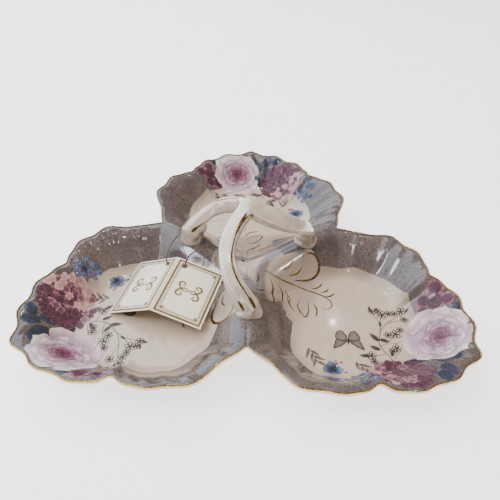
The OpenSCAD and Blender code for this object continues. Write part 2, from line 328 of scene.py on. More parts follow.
def paper():
    n = Nodes("card_paper")
    fibre = n.noise(1500, 5, 0.7, warp=0.6)
    base = n.mix(n.span(fibre, 0.3, 0.7), (0.9, 0.82, 0.66), (0.92, 0.86, 0.72))
    base = n.mix(n.span(n.noise(60), 0.45, 0.75, 0.0, 0.35), base, (0.87, 0.77, 0.6))
    return n.surface(Base_Color=base, Roughness=n.span(fibre, 0.3, 0.7, 0.5, 0.68),
                     Normal=n.bump(fibre, 0.18, 0.0003))


def thread():
    n = Nodes("gold_thread")
    fibre = n.noise(3200, 3, 0.6, warp=1.0)
    base = n.mix(n.span(fibre, 0.3, 0.7), rgb(84, 60, 36), rgb(146, 116, 74))
    return n.surface(Base_Color=base, Roughness=n.span(fibre, 0.3, 0.7, 0.45, 0.7), Metallic=0.25,
                     Sheen_Weight=0.3, Normal=n.bump(fibre, 0.5, 0.0002))


def plain_floor():
    n = Nodes("pale_floor")
    pale = n.mix(n.noise(3, 2), (0.93, 0.93, 0.93), (0.9, 0.9, 0.9))
    return n.surface(Base_Color=pale, Roughness=0.8, Emission_Color=(1, 1, 1, 1), Emission_Strength=1.5)


PAINTED = glaze_inside()
OUTSIDE = glaze_white("outer_glaze", rgb(200, 192, 184), rgb(188, 178, 168))
HANDLE = glaze_white("handle_glaze", rgb(208, 203, 197), rgb(195, 186, 177))
FOOT = glaze_white("foot_glaze", rgb(200, 192, 184), rgb(188, 178, 168), foot=True)
GILT = gold_paint("gilding", (0.6, 0.4, 0.15), (0.28, 0.17, 0.06))
GOLD_LINE = gold_paint("gold_line", (0.37, 0.235, 0.085), (0.15, 0.09, 0.03))
GOLD_PRINT = gold_paint("gold_print", (0.29, 0.185, 0.06), (0.17, 0.105, 0.035), metallic=0.6, rough=0.35)
INK = print_ink()
PAPER = paper()
THREAD = thread()


# Cord through the card's holes and round the left arm's foot
CORD_D = 1.2
CORD_ROUTE = [
    (-61.5, -6, 25), (-65.3, -4.7, 25.6), (-67.3, -4.2, 29.2), (-68.1, -4.2, 32.6), (-67.9, -3.9, 35.4),
    (-67.4, 1, 37.8), (-66, 11, 38), (-62.5, 23, 37.5), (-62.5, 32, 36.5), (-57, 39, 36), (-47, 39, 36),
    (-41.5, 33, 36.5), (-41, 22, 37), (-44, 6, 37.5), (-50, -4, 37), (-51.7, -7.5, 34), (-52.5, -7.1, 30.5),
    (-53.3, -6.6, 27), (-56.5, -6.5, 25), (-59.5, -6, 25),
]
# Length of a ply's twist, depth of the groove between the plies, and the knot's size and thread
PLY_PITCH, GROOVE, KNOT_SCALE, KNOT_R = 3.2, 0.34, 0.46, 0.55
# Two places along the cord, one near the dish and one near the card
BLEND_FROM, BLEND_TO = (-54, 20, 36), (-60, -2, 32)


def add_cord():
    path = resample(catmull(CORD_ROUTE, 12), 0.4)
    run = np.concatenate([[0], np.cumsum(np.linalg.norm(np.diff(path, axis=0), axis=1))])

    def plies(i, a):
        turn = math.pi * run[i] / PLY_PITCH
        return CORD_D / 2 * (1 - GROOVE + GROOVE * np.abs(np.cos(a - turn)))
    verts, faces = sweep(path, plies)
    cord = make_piece("tag_cord_twist", verts, faces, None, [THREAD])
    a = np.linspace(0, 2 * math.pi, 121)
    loop = np.stack([np.sin(a) + 2 * np.sin(2 * a), np.cos(a) - 2 * np.cos(2 * a), -np.sin(3 * a)], -1)
    centre = (np.array(CORD_ROUTE[0]) + CORD_ROUTE[-1]) / 2
    verts, faces = sweep(centre + KNOT_SCALE * loop[:, [0, 2, 1]], lambda i, ang: KNOT_R + 0 * ang)
    knot = make_piece("tag_cord_knot", verts, faces, "tag", [THREAD])
    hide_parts("tag_knot")
    [c * MM for c in BLEND_FROM]
    [c * MM for c in BLEND_TO]
    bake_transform(cord)
    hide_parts("tag_cord")


add_cord()


# Form of the bowls, in mm and degrees, as the solids have it
LOBE_OFFSET, LOBE_R, LOBE_SWELL, SWELL_PERIOD = 92, 87, 5, 106
SCALLOPS, SCALLOP_H, RUFFLE_H = 20, 1.3, 0.6
TIP_POINT, TIP_SPREAD, TIP_FALL, FALL_SPREAD = 2.5, 5, 2, 35
SIDE_EAR, EAR_AT, EAR_SPREAD, EAR_RISE, RISE_AT, RISE_SPREAD = 1.5, 84, 8, 3, 76, 22
SHOULDER_DIP, SHOULDER_AT, SHOULDER_SPREAD = 8, 54.5, 5
NOTCH_COVE, COVE_AT, COVE_SPREAD, NOTCH_AT, NOTCH_BLEND, RUFFLE_FADE = 5.5, 107, 6.5, 120, 10, 20
RIM_Z, FLOOR_Z, FLOOR_T, EDGE_T, WELL_R = 34, 10, 5, 2.6, 49
RIDGE_DROP, RIDGE_RUN, GILT_W, GILT_H = 9, 78, 2.4, 1
WELL_SHARE = WELL_R / LOBE_R
LOBES = {"rear": 90, "left": 210, "right": 330}
# Flutes under the lip, pressed in: count, depth, and the shares of the wall where they grow and fade
FLUTES, FLUTE_H, FLUTE_GROWS, FLUTE_FROM, FLUTE_FADES = 40, 0.8, 0.12, 0.4, 0.4
# Soft waves below them: count, depth, where they start on the wall and where they end on the floor
WAVES, WAVE_H, WAVE_START, WAVE_RUN, WAVE_FROM, WAVE_GROWS = 20, 0.4, 0.25, 0.3, 4, 34
# Bearing from which both fade out towards the ridges
PRESSED_TO, PRESSED_FADE = 107, 13


def ease(t):
    k = np.clip(t, 0, 1)
    return k * k * (3 - 2 * k)


def bump(a, centre, spread):
    return np.exp(-((a - centre) / spread) ** 2)


def cosd(a):
    return np.cos(np.radians(a))


def sind(a):
    return np.sin(np.radians(a))


def rotate(x, y, angle):
    """Turns places in plan by an angle in radians."""
    c, w = np.cos(angle), np.sin(angle)
    return x * c - y * w, x * w + y * c


def rim_curve(a):
    return (LOBE_R + LOBE_SWELL * cosd(360 * a / SWELL_PERIOD) + SCALLOP_H * cosd(SCALLOPS * a)
            + TIP_POINT * bump(a, 0, TIP_SPREAD) + SIDE_EAR * bump(a, EAR_AT, EAR_SPREAD)
            - SHOULDER_DIP * bump(a, SHOULDER_AT, SHOULDER_SPREAD)
            - NOTCH_COVE * bump(a, COVE_AT, COVE_SPREAD))


def edge_r(phi):
    a = np.abs(phi)
    rim = rim_curve(a) + (LOBE_OFFSET - rim_curve(NOTCH_AT)) * ease((a - NOTCH_AT) / NOTCH_BLEND + 1)
    seam = LOBE_OFFSET * sind(60) / cosd(np.maximum(a, NOTCH_AT) - 150)
    return np.where(a <= NOTCH_AT, rim, seam)


def edge_z(phi):
    a = np.abs(phi)
    wave = (RUFFLE_H * cosd(SCALLOPS * a) + EAR_RISE * bump(a, RISE_AT, RISE_SPREAD)
            - TIP_FALL * bump(a, 0, FALL_SPREAD))
    rim = RIM_Z + wave * (1 - ease((a - NOTCH_AT) / RUFFLE_FADE + 1))
    r = edge_r(np.maximum(a, NOTCH_AT))
    d = np.hypot(LOBE_OFFSET + r * cosd(a), r * sind(a))
    return np.where(a <= NOTCH_AT, rim, RIM_Z - RIDGE_DROP * (1 - ease(d / RIDGE_RUN)))


def press(phi, k, rho):
    """Depth of the flutes under the lip and of the soft waves that run on into the floor."""
    side = 1 - ease((np.abs(phi) - PRESSED_TO) / PRESSED_FADE)
    flute = FLUTE_H * (0.5 - 0.5 * cosd(FLUTES * phi)) * ease(k / FLUTE_GROWS)
    flute = flute * (1 - ease((k - FLUTE_FROM) / FLUTE_FADES))
    wave = WAVE_H * (0.5 - 0.5 * cosd(WAVES * phi)) * ease((k - WAVE_START) / WAVE_RUN)
    wave = wave * ease((rho - WAVE_FROM) / WAVE_GROWS)
    return side * (flute + wave)


def wall_share(rho, phi):
    """0 on the lip and 1 on the floor."""
    return np.clip((1 - rho / (edge_r(phi) - GILT_W)) / (1 - WELL_SHARE), 0, 1)


def bowl_height(s, t):
    phi = np.degrees(np.arctan2(t, s))
    rho = np.hypot(s, t)
    k = wall_share(rho, phi)
    top = edge_z(phi)
    return top + (FLOOR_Z - top) * ease(k) - press(phi, k, rho)


def dish_height(x, y):
    turn = np.degrees(np.arctan2(y, x)) - LOBES["rear"]
    a = turn - 120 * np.round(turn / 120)
    d = np.hypot(x, y)
    return bowl_height(d * cosd(a) - LOBE_OFFSET, d * sind(a))


def to_world(s, t, az):
    return rotate(LOBE_OFFSET + s, t, math.radians(az))


def on_dish(x, y, lift):
    """Points that far above the glaze, square to it."""
    h = 0.15
    z = dish_height(x, y)
    gx = (dish_height(x + h, y) - dish_height(x - h, y)) / (2 * h)
    gy = (dish_height(x, y + h) - dish_height(x, y - h)) / (2 * h)
    n = unit(np.stack([-gx, -gy, np.ones_like(gx)], -1))
    return np.stack([x, y, z], -1) + n * np.asarray(lift)[..., None]


# Shares of the lip's radius in plan, and the same measured along the glaze from the floor's middle
IN_PLAN = np.linspace(0, 1, 200)
WALL_DROP = (RIM_Z - FLOOR_Z) * (1 - ease((1 - IN_PLAN) / (1 - WELL_SHARE))) / (LOBE_R - GILT_W)
ALONG = np.concatenate([[0], np.cumsum(np.hypot(np.diff(IN_PLAN), np.diff(WALL_DROP)))])
# The print keeps this far inside the lip
INSIDE_LIP = 0.2


def on_bowl(s, t, az, lift):
    """The same for a bowl's glaze laid out flat, kept inside the lip."""
    out, phi = np.hypot(s, t), np.degrees(np.arctan2(t, s))
    lip = edge_r(phi) - GILT_W
    keep = np.minimum(np.interp(out / lip, ALONG, IN_PLAN) * lip, lip - INSIDE_LIP) / np.maximum(out, 1e-9)
    return on_dish(*to_world(s * keep, t * keep, az), lift)


# White panel: radius, then height, bearing and spread of its swells, and the white middle's radius
PANEL_R, MIDDLE_R = 58.5, 33
PANEL_SWELLS = [(2, 100, 30), (2.5, -90, 22), (-15, -148, 28), (-3, 45, 25)]
# White leaf, in a bowl's own plan: outward, then along the rim
LEAF = [
    (-30, 10), (-38, 28), (-42.2, 31), (-42.4, 37.4), (-45.3, 42), (-50, 43.6), (-55.5, 44), (-62, 39),
    (-70, 29), (-75.5, 19), (-77.5, 8), (-75.5, 1), (-70.5, 0), (-67, -8), (-65, -18), (-61.5, -23),
    (-57.5, -20), (-56, -13), (-53.5, -9.5), (-50, -15), (-45.5, -17.5), (-43, -21), (-30, -20),
]
# Grey veil between the leaf and the dish's middle
VEIL = [(-66, 41), (-75.7, 34), (-81, 22), (-82.5, 12), (-79.5, 0), (-73, -13), (-66.8, -23.6), (-58, -38)]
VEIL_HALF = [8, 6.5, 5.2, 4.6, 4.4, 5, 6.5, 10]
# Points from one of these to the next when they are smoothed
OUTLINE_STEPS = 5


def line_distance(x, y, line):
    """Distance to a line of points, and how far along it the nearest place is, in points."""
    p = np.asarray(line, float)
    best, at = np.full(x.shape, 1e9), np.zeros(x.shape)
    for i in range(len(p) - 1):
        dx, dy = p[i + 1] - p[i]
        w = np.clip(((x - p[i, 0]) * dx + (y - p[i, 1]) * dy) / (dx * dx + dy * dy), 0, 1)
        d = np.hypot(x - p[i, 0] - w * dx, y - p[i, 1] - w * dy)
        at = np.where(d < best, i + w, at)
        best = np.minimum(d, best)
    return best, at


def inside(x, y, ring):
    p = np.asarray(ring, float)
    odd = np.zeros(x.shape, bool)
    for (x0, y0), (x1, y1) in zip(p, np.roll(p, -1, axis=0)):
        if y0 != y1:
            odd ^= ((y0 > y) != (y1 > y)) & (x < (x1 - x0) * (y - y0) / (y1 - y0) + x0)
    return odd


def in_each_bowl(s, t):
    """The same points in the plans of all three bowls."""
    for turn in (0, 120, 240):
        x, y = rotate(LOBE_OFFSET + s, t, -math.radians(turn))
        yield x - LOBE_OFFSET, y


def leaf_depth(s, t):
    """Distance into the white leaf, less than 0 outside it."""
    ring = catmull(LEAF, OUTLINE_STEPS, closed=True)
    d, _ = line_distance(s, t, np.vstack([ring, ring[:1]]))
    return np.where(inside(s, t, ring), d, -d)


def white_edge(s, t):
    """Distance from the edge of the white paint, less than 0 inside it."""
    phi = np.degrees(np.arctan2(t, s))
    reach = PANEL_R + sum(height * bump(phi, at, spread) for height, at, spread in PANEL_SWELLS)
    panel = np.hypot(s, t) - reach
    middle = np.hypot(s + LOBE_OFFSET, t) - MIDDLE_R
    return np.minimum(np.minimum(panel, -leaf_depth(s, t)), middle)


def veil_depth(s, t):
    """Distance into the grey veil, less than 0 outside it."""
    d, at = line_distance(s, t, catmull(VEIL, OUTLINE_STEPS))
    return np.interp(at / OUTLINE_STEPS, np.arange(len(VEIL)), VEIL_HALF) - d


# Bowls: inner face, rounded lip, outer face and underside in one closed skin
ANGLES, FLOOR_RINGS, WALL_RINGS, OUTER_RINGS = 576, 26, 56, 22
# Lip: radius and turns of its rounding, how the rounding ends before the notch, and its place inside the edge
LIP_ROUND, LIP_TURNS, LIP_ENDS, LIP_FADE, LIP_IN = 0.5, (0, 30, 60, 90), 0.92, 3, 0.2
# Share of the flutes that shows outside, and the underside's rings
OUTER_PRESS, UNDER_RINGS = 0.6, (0.75, 0.5, 0.25)
# Scale and middle of the inside and of the outside in the bake, and how far the lip's band is spread there
PLAN_SPAN, INSIDE_SCALE, INSIDE_AT, OUTSIDE_SCALE, OUTSIDE_AT = 200, 0.7, (0.36, 0.64), 0.26, (0.86, 0.14)
LIP_SPREAD = 0.04


def bowl_rings(phi):
    """Rings of a bowl's skin from the floor over the lip to the underside, and where the outside starts."""
    edge, top = edge_r(phi), edge_z(phi)
    lip = edge - GILT_W
    rows = []
    for share in np.concatenate([np.linspace(0, WELL_SHARE, FLOOR_RINGS + 1)[1:],
                                 np.linspace(WELL_SHARE, 1, WALL_RINGS + 1)[1:]]):
        s, t = share * lip * cosd(phi), share * lip * sind(phi)
        rows.append((s, t, bowl_height(s, t)))

    def ring(r, z):
        rows.append((r * cosd(phi), r * sind(phi), z + 0 * phi))
    rounding = LIP_ROUND * (1 - LIP_ENDS * ease((np.abs(phi) - NOTCH_AT + LIP_FADE) / LIP_FADE))
    skin = edge - LIP_IN * rounding
    for a in LIP_TURNS:
        ring(skin - rounding * (1 - sind(a)), top - rounding * (1 - cosd(a)))
    outer_from = len(rows)
    for k in np.linspace(0, 1, OUTER_RINGS):
        z = top + (FLOOR_Z - top) * ease(k) - EDGE_T - (FLOOR_T - EDGE_T) * k
        ring(skin * (1 - (1 - WELL_SHARE) * k), z - OUTER_PRESS * press(phi, k, LOBE_R) * (1 - k))
    for share in UNDER_RINGS:
        ring(share * edge * WELL_SHARE, FLOOR_Z - FLOOR_T)
    return rows, outer_from


def add_bowl(name, az):
    phi = np.arange(ANGLES) * 360 / ANGLES - 180
    rows, outer_from = bowl_rings(phi)
    s, t, z = (np.concatenate([r[i] for r in rows]) for i in range(3))
    s, t = np.append(s, [0, 0]), np.append(t, [0, 0])
    z = np.append(z, [bowl_height(0.0, 0.0), FLOOR_Z - FLOOR_T])
    faces = [f[::-1] for f in tube_faces(len(rows), ANGLES)]
    x, y = to_world(s, t, az)
    places = np.stack([x, y, z], -1)
    bowl = make_piece(f"{name}_bowl_shell", places, faces, "dish", [PAINTED, OUTSIDE])
    mesh = bowl.data
    n = len(rows) * ANGLES
    outer = np.array([max(f) >= outer_from * ANGLES and n not in f for f in faces], np.int32)
    mesh.polygons.foreach_set("material_index", outer)
    for attribute, depth, nearest in (("white_edge", white_edge, np.min), ("veil", veil_depth, np.max),
                                      ("leaf", leaf_depth, np.max)):
        values = nearest([depth(*p) for p in in_each_bowl(s, t)], axis=0)
        layer = mesh.attributes.new(attribute, "FLOAT", "POINT")
        layer.data.foreach_set("value", values.astype(np.float32))
    flat = np.stack([s, t], -1) / PLAN_SPAN
    drop = np.append(np.tile(edge_z(phi), len(rows)) - z[:n], [0, 99])
    under = flat * (1 + LIP_SPREAD * np.exp(-drop))[:, None]
    set_uv(mesh, flat * INSIDE_SCALE + INSIDE_AT, under * OUTSIDE_SCALE + OUTSIDE_AT, outer)
    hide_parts(f"{name}_bowl")


# Gilding on each rim: a soft bead that runs a little down the outside
GILT_STEPS = 440
GILT_SECTION = [
    (0, 0.02), (0.08, 0.35), (0.25, 0.75), (0.5, 1), (0.78, 0.8), (0.94, 0.35), (1, -0.1), (1, -0.6),
    (0.985, -1.0), (0.96, -1.0), (0.9, -0.3), (0.5, -0.1), (0.1, -0.1),
]
# Shares of the solid bead's width and height, its place inside the edge, and the waves of its inner line
GILT_NARROW, GILT_LOW, GILT_IN = 0.55, 0.85, 0.07
GILT_WAVES = [(0.1, 1.9, 0), (0.08, 4.7, 1), (0.05, 11.3, 0)]


def add_gilt(name, az):
    phi = np.linspace(-NOTCH_AT, NOTCH_AT, GILT_STEPS)
    edge, top = edge_r(phi) - GILT_IN, edge_z(phi)
    wobble = sum(height * np.sin(phi * rate + start) for height, rate, start in GILT_WAVES)
    rings = []
    for across, up in GILT_SECTION:
        r = edge - GILT_W * (1 - across) * (GILT_NARROW + (wobble if across < 0.5 else 0))
        rings.append(np.stack([r * cosd(phi), r * sind(phi), top + GILT_H * up * GILT_LOW], -1))
    p = np.stack(rings, 1)
    cols = len(GILT_SECTION)
    x, y = to_world(p[..., 0], p[..., 1], az)
    verts = np.stack([x, y, p[..., 2]], -1).reshape(-1, 3)
    faces = grid_faces(GILT_STEPS, cols, closed=True).tolist()
    faces += [list(range(cols))[::-1], list(range((GILT_STEPS - 1) * cols, GILT_STEPS * cols))]
    bead = make_piece(f"{name}_gilding", verts, faces, "dish", [GILT])
    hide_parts(f"{name}_gilt_edge")


for lobe, azimuth in LOBES.items():
    add_bowl(lobe, azimuth)
    add_gilt(lobe, azimuth)
    dress(NODES[f"{lobe}_foot_ring"], FOOT)


# Handle: three keeled arms run into the crown as one glazed body, then parted at the joins
# Widths of arm and crown, how much smaller the crown is formed, and how far past it the arms' joins lie
ARM_D, CROWN_D, CROWN_IN, CROWN_OUT = 12.5, 19, 0.3, 1.5
ARM_CURVE = np.array([(58, 1, 38.5), (53.36, -15, 64.16), (25.52, -26.25, 66.76), (0, 0, 86)])
CROWN = ARM_CURVE[-1]
ARM_REFERENCE = np.array((0.8, 0, 0.6))
ARMS = {"front": 270, "left": 150, "right": 30}
# Keels: count, angle of the first, height, share that the foot's flare takes off, and sharpness
KEELS, KEEL_AT, KEEL, KEEL_SOFT, KEEL_SHARP = 3, 20, 0.13, 0.1, 0.3
# Where the foot's flare ends and where the swell to the crown starts, and the crown's form
FLARE_END, SWELL_FROM, SWELL_RUN, CROWN_TALL, CROWN_WIDE, CROWN_FLAT = 0.5, 0.5, 0.4, 0.3, 0.06, 0.8
ARM_SIDES, ARM_RINGS, VOXEL, SMOOTHING = 48, 60, 0.6, 12
# Feet: half lengths along and across the ridge, the arm's spread over them, and their reach down it
FOOT_LONG, FOOT_WIDE, FLARE_LONG, FLARE_WIDE, FOOT_REACH = 9.6, 10.4, 2.6, 2.6, 1.8
# Each arm is slimmer on its outer side above the foot
SLIM, SLIM_AT, SLIM_SPREAD = 0.3, 0.22, 0.2
# Fillet between each foot and the underside of its arm
FILLET_AT, FILLET_R = (51.5, -3.5, 43.5), 6.2
# Skirt round each foot: share of the foot's spread, then height over the glaze, then over the ridge
SEAT, SKIRT = [(0.94, -1.2), (0.97, 0.2)], [(1.02, -0.2), (1.03, 0.8), (1.0, 1.8), (0.95, 3.2)]


def arm_frame(t):
    t = np.asarray(t, float)[..., None]
    p = ARM_CURVE
    at = (1 - t) ** 3 * p[0] + 3 * (1 - t) ** 2 * t * p[1] + 3 * (1 - t) * t * t * p[2] + t ** 3 * p[3]
    d = unit((1 - t) ** 2 * (p[1] - p[0]) + 2 * (1 - t) * t * (p[2] - p[1]) + t * t * (p[3] - p[2]))
    u = unit(ARM_REFERENCE - (d @ ARM_REFERENCE)[..., None] * d)
    return at, u, np.cross(d, u)


def arm_surface(t, angle):
    """Point of an arm's skin, in its own axes: outward, along the rim, up."""
    at, u, v = arm_frame(t)
    flare = np.clip(1 - np.asarray(t) / FLARE_END, 0, 1) ** 2
    turn = KEELS * np.radians(angle - KEEL_AT)
    keel = 1 + KEEL * (1 - KEEL_SOFT * flare) * (np.cos(turn) + KEEL_SHARP * np.cos(2 * turn))
    keel = keel * (1 - SLIM * bump(np.asarray(t), SLIM_AT, SLIM_SPREAD) * np.maximum(cosd(angle), 0) ** 2)
    swell = ease((np.asarray(t) - SWELL_FROM) / SWELL_RUN)
    long = (ARM_D / 2 + flare * FLARE_LONG) * keel * (1 + CROWN_TALL * swell)
    wide = (ARM_D / 2 + flare * FLARE_WIDE) * keel * (1 + CROWN_WIDE * swell)
    a = np.radians(angle)
    return at + (long * np.cos(a))[..., None] * u + (wide * np.sin(a))[..., None] * v


def turned(p, az):
    return np.stack([*rotate(p[..., 0], p[..., 1], math.radians(az)), p[..., 2]], -1)


def arm_skin(az):
    angles = np.arange(ARM_SIDES) * 360 / ARM_SIDES
    a = np.radians(angles)
    rows = []
    ridge = turned(ARM_CURVE[:1], az)
    brim = dish_height(ridge[0, 0], ridge[0, 1]) - FOOT_REACH
    for share, lift in SEAT + SKIRT:
        foot = np.stack([ARM_CURVE[0][0] + share * FOOT_LONG * np.cos(a),
                         ARM_CURVE[0][1] + share * FOOT_WIDE * np.sin(a), 0 * a], -1)
        foot = turned(foot, az)
        height = dish_height(foot[:, 0], foot[:, 1])
        foot[:, 2] = (height if (share, lift) in SEAT else np.maximum(height, brim)) + lift
        rows.append(foot)
    for t in np.linspace(0, 1, ARM_RINGS):
        rows.append(turned(arm_surface(np.full(ARM_SIDES, t), angles), az))
    ends = np.stack([rows[0].mean(0), rows[-1].mean(0)])
    return np.vstack(rows + [ends]), tube_faces(len(rows), ARM_SIDES)


def handle_body():
    verts, faces = [], []
    for az in ARMS.values():
        v, f = arm_skin(az)
        base = sum(map(len, verts))
        verts.append(v)
        faces += [[base + i for i in g] for g in f]
    bm = bmesh.new()
    made = [bm.verts.new(p) for p in np.vstack(verts)]
    for f in faces:
        bm.faces.new([made[i] for i in f])
    crown = Matrix.Translation(CROWN.tolist()) @ Matrix.Diagonal((1, 1, CROWN_FLAT, 1))
    bmesh.ops.create_icosphere(bm, subdivisions=4, radius=CROWN_D / 2 - CROWN_IN, matrix=crown)
    for az in ARMS.values():
        at = Matrix.Translation(turned(np.array(FILLET_AT), az).tolist())
        bmesh.ops.create_icosphere(bm, subdivisions=4, radius=FILLET_R, matrix=at)
    bmesh.ops.recalc_face_normals(bm, faces=bm.faces)
    mesh = bpy.data.meshes.new("handle_body")
    bm.to_mesh(mesh)
    bm.free()
    body = link("handle_body", mesh)
    remesh = body.modifiers.new("remesh", "REMESH")
    remesh.mode, remesh.voxel_size = "VOXEL", VOXEL
    smooth = body.modifiers.new("smooth", "SMOOTH")
    smooth.factor, smooth.iterations = 0.5, SMOOTHING
    result = bpy.data.meshes.new_from_object(body.evaluated_get(bpy.context.evaluated_depsgraph_get()))
    bpy.data.objects.remove(body)
    p = np.array([v.co for v in result.vertices])
    normals = np.array([v.normal for v in result.vertices])
    polygons = [list(f.vertices) for f in result.polygons]
    bpy.data.meshes.remove(result)
    return p, normals, polygons


def close_ends(mesh):
    bm = bmesh.new()
    bm.from_mesh(mesh)
    bmesh.ops.holes_fill(bm, edges=[e for e in bm.edges if e.is_boundary], sides=0)
    bmesh.ops.triangle_fill(bm, edges=[e for e in bm.edges if e.is_boundary], use_beauty=True)
    bm.to_mesh(mesh)
    bm.free()


def add_handle():
    p, normals, polygons = handle_body()
    tree = BVHTree.FromPolygons(p.tolist(), polygons)
    line = arm_frame(np.linspace(0, 0.95, 40))[0]
    away = np.stack([np.min(np.linalg.norm(p[:, None] - turned(line, az)[None], axis=2), axis=1)
                     for az in ARMS.values()])
    in_crown = np.linalg.norm(p - CROWN, axis=1) < CROWN_D / 2 + CROWN_OUT
    owner = np.where(in_crown, len(ARMS), np.argmin(away, axis=0))
    for i, name in enumerate([*(f"{a}_handle_arm" for a in ARMS), "handle_crown"]):
        mine = [f for f in polygons if owner[f[0]] == i]
        used = sorted({v for f in mine for v in f})
        index = {v: j for j, v in enumerate(used)}
        piece = make_piece(f"{name}_glazed", p[used], [[index[v] for v in f] for f in mine], "dish",
                           [HANDLE])
        close_ends(piece.data)
        piece.data.normals_split_custom_set_from_vertices(normals[used].tolist())
        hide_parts(name)
    return tree


HANDLE_TREE = add_handle()


# Tint of plain gold, places across a ribbon, and the size of face that is left out
NO_TINT, ACROSS, SPECK = (1, 1, 1), np.array((-1, 0, 1.0)), 1e-5


class Patches:
    """Small patches of paint, each a grid of points with its own colours and its own place in the bake."""

    def __init__(self):
        self.grids, self.tints = [], []

    def add(self, grid, tint):
        self.grids.append(np.asarray(grid, float))
        self.tints.append(np.broadcast_to(np.asarray(tint, float), grid.shape))

    def build(self, name, body, material):
        side = math.ceil(math.sqrt(len(self.grids)))
        verts, faces, uvs, base = [], [], [], 0
        for i, g in enumerate(self.grids):
            rows, cols = g.shape[:2]
            verts.append(g.reshape(-1, 3))
            faces.append(grid_faces(rows, cols)[:, ::-1] + base)
            u, v = np.meshgrid(np.linspace(0.05, 0.95, rows), np.linspace(0.05, 0.95, cols), indexing="ij")
            uvs.append(np.stack([u + i % side, v + i // side], -1).reshape(-1, 2) / side)
            base += rows * cols
        p, f = np.vstack(verts), np.vstack(faces)
        spread = np.cross(p[f[:, 2]] - p[f[:, 0]], p[f[:, 3]] - p[f[:, 1]])
        f = f[np.linalg.norm(spread, axis=1) > SPECK]
        piece = make_piece(name, p, f, body, [material])
        set_uv(piece.data, np.vstack(uvs))
        set_colour(piece.data, np.vstack([t.reshape(-1, 3) for t in self.tints]))


def brush(share, lo):
    """Width of a brush stroke along its length: thin, full, thin."""
    return lo + (1 - lo) * np.sin(np.pi * np.clip(share, 0, 1)) ** 0.7


def stroke(batch, place, points, width, tint, lo=0.25, closed=False, spacing=0.7, dome=0.05):
    """Ribbon along a line in plan; place(s, t, lift) sets it on its surface."""
    line = resample(catmull(np.vstack([points, points[:1]]) if closed else points, 8), spacing)
    t = unit(np.gradient(line, axis=0))
    n = np.stack([-t[:, 1], t[:, 0]], -1)
    w = width / 2 * (np.ones(len(line)) if closed else brush(np.linspace(0, 1, len(line)), lo))
    s = line[:, :1] + n[:, :1] * w[:, None] * ACROSS
    q = line[:, 1:] + n[:, 1:] * w[:, None] * ACROSS
    batch.add(place(s, q, dome * (1 - np.abs(ACROSS)) + 0 * s), tint)


def raised(place, height):
    """The same surface, that much higher."""
    return lambda s, t, lift: place(s, t, height + lift)


# Gold of the painted leaf, in a bowl's own plan
GOLD_STROKES = [
    (1.3, [(-79, 5), (-65.4, 8), (-49, 14), (-33, 16.5), (-24.5, 15.8), (-19, 13), (-17.3, 7.5),
           (-20.7, 3.6), (-24.2, 5)]),
    (1.9, [(-57.5, 33.8), (-58.3, 36), (-56, 40), (-50.5, 43), (-45.2, 41.6), (-42.5, 37), (-42.9, 30.5),
           (-47, 23), (-55, 16)]),
    (1.5, [(-63.7, 27), (-63.6, 22), (-66.5, 15.5)]), (1.5, [(-55.3, 29), (-56, 22), (-60.5, 15.5)]),
    (1.5, [(-35, 30.5), (-36, 24), (-40, 19)]), (1.4, [(-27.8, 27), (-28.6, 22.5), (-32, 19.6)]),
    (1.4, [(-21.5, 25), (-22.8, 20), (-26.5, 17)]),
    (1.3, [(-71, 2.5), (-66, -3), (-62.5, -11), (-57.8, -16), (-57.5, -20), (-61, -22.6)]),
    (1.1, [(-64.5, 3.5), (-58.5, 0), (-54.5, -7.5), (-53.6, -10)]), (1.0, [(-58, 3), (-51, -1), (-48, -7)]),
    (1.2, [(-53.8, -1), (-47, -8), (-42, -11.5)]),
    (1.2, [(-43, 1.5), (-41, -6), (-31, -13), (-31.5, -5), (-36, 2.5)]),
    (1.3, [(-31.5, 4), (-26, -1), (-23.6, -8.6)]),
    (1.1, [(-82, -2.5), (-78, -7), (-77, -12)]), (1.2, [(-72, -21.5), (-69, -19), (-68.2, -15)]),
    (1.0, [(-84, 16), (-81.5, 13), (-80.5, 9.5)]),
]
MIDDLE_DOT, DOT_W = [(-85.6, 3.4), (-84.6, 5), (-83.6, 5.6)], 2.6
GOLD_LIFT = 0.12


def add_gold(name, az):
    gold = Patches()

    def place(s, t, lift):
        return on_dish(*to_world(s, t, az), GOLD_LIFT + lift)
    for width, points in GOLD_STROKES:
        stroke(gold, place, points, width, NO_TINT, dome=0.12)
    if name == "rear":
        stroke(gold, place, MIDDLE_DOT, DOT_W, NO_TINT, lo=0.5, dome=0.2)
    gold.build(f"{name}_gold_leafwork", "dish", GOLD_LINE)


# Printed flowers, in a bowl's own plan
PETAL_WIDEST, PETAL_WAVE = 0.66, 0.05
# Steps by which petals lie over each other, from ring to ring and from petal to petal
RING_LIFT, PETAL_LIFT = 0.025, 0.002
# What a petal's edge and its pinker side take off red, green and blue
PETAL_RIM, PETAL_PINK = np.array((0.1, 0.18, 0.11)), np.array((0.04, 0.13, 0.04))


def lay(batch, place, s, t, angle, out, side, lift, tint):
    """Lays a grid of points on its surface from its root at (s, t), out along angle and sideways."""
    x, y = rotate(out, side, angle)
    batch.add(place(s + x, t + y, lift + 0 * x), tint)


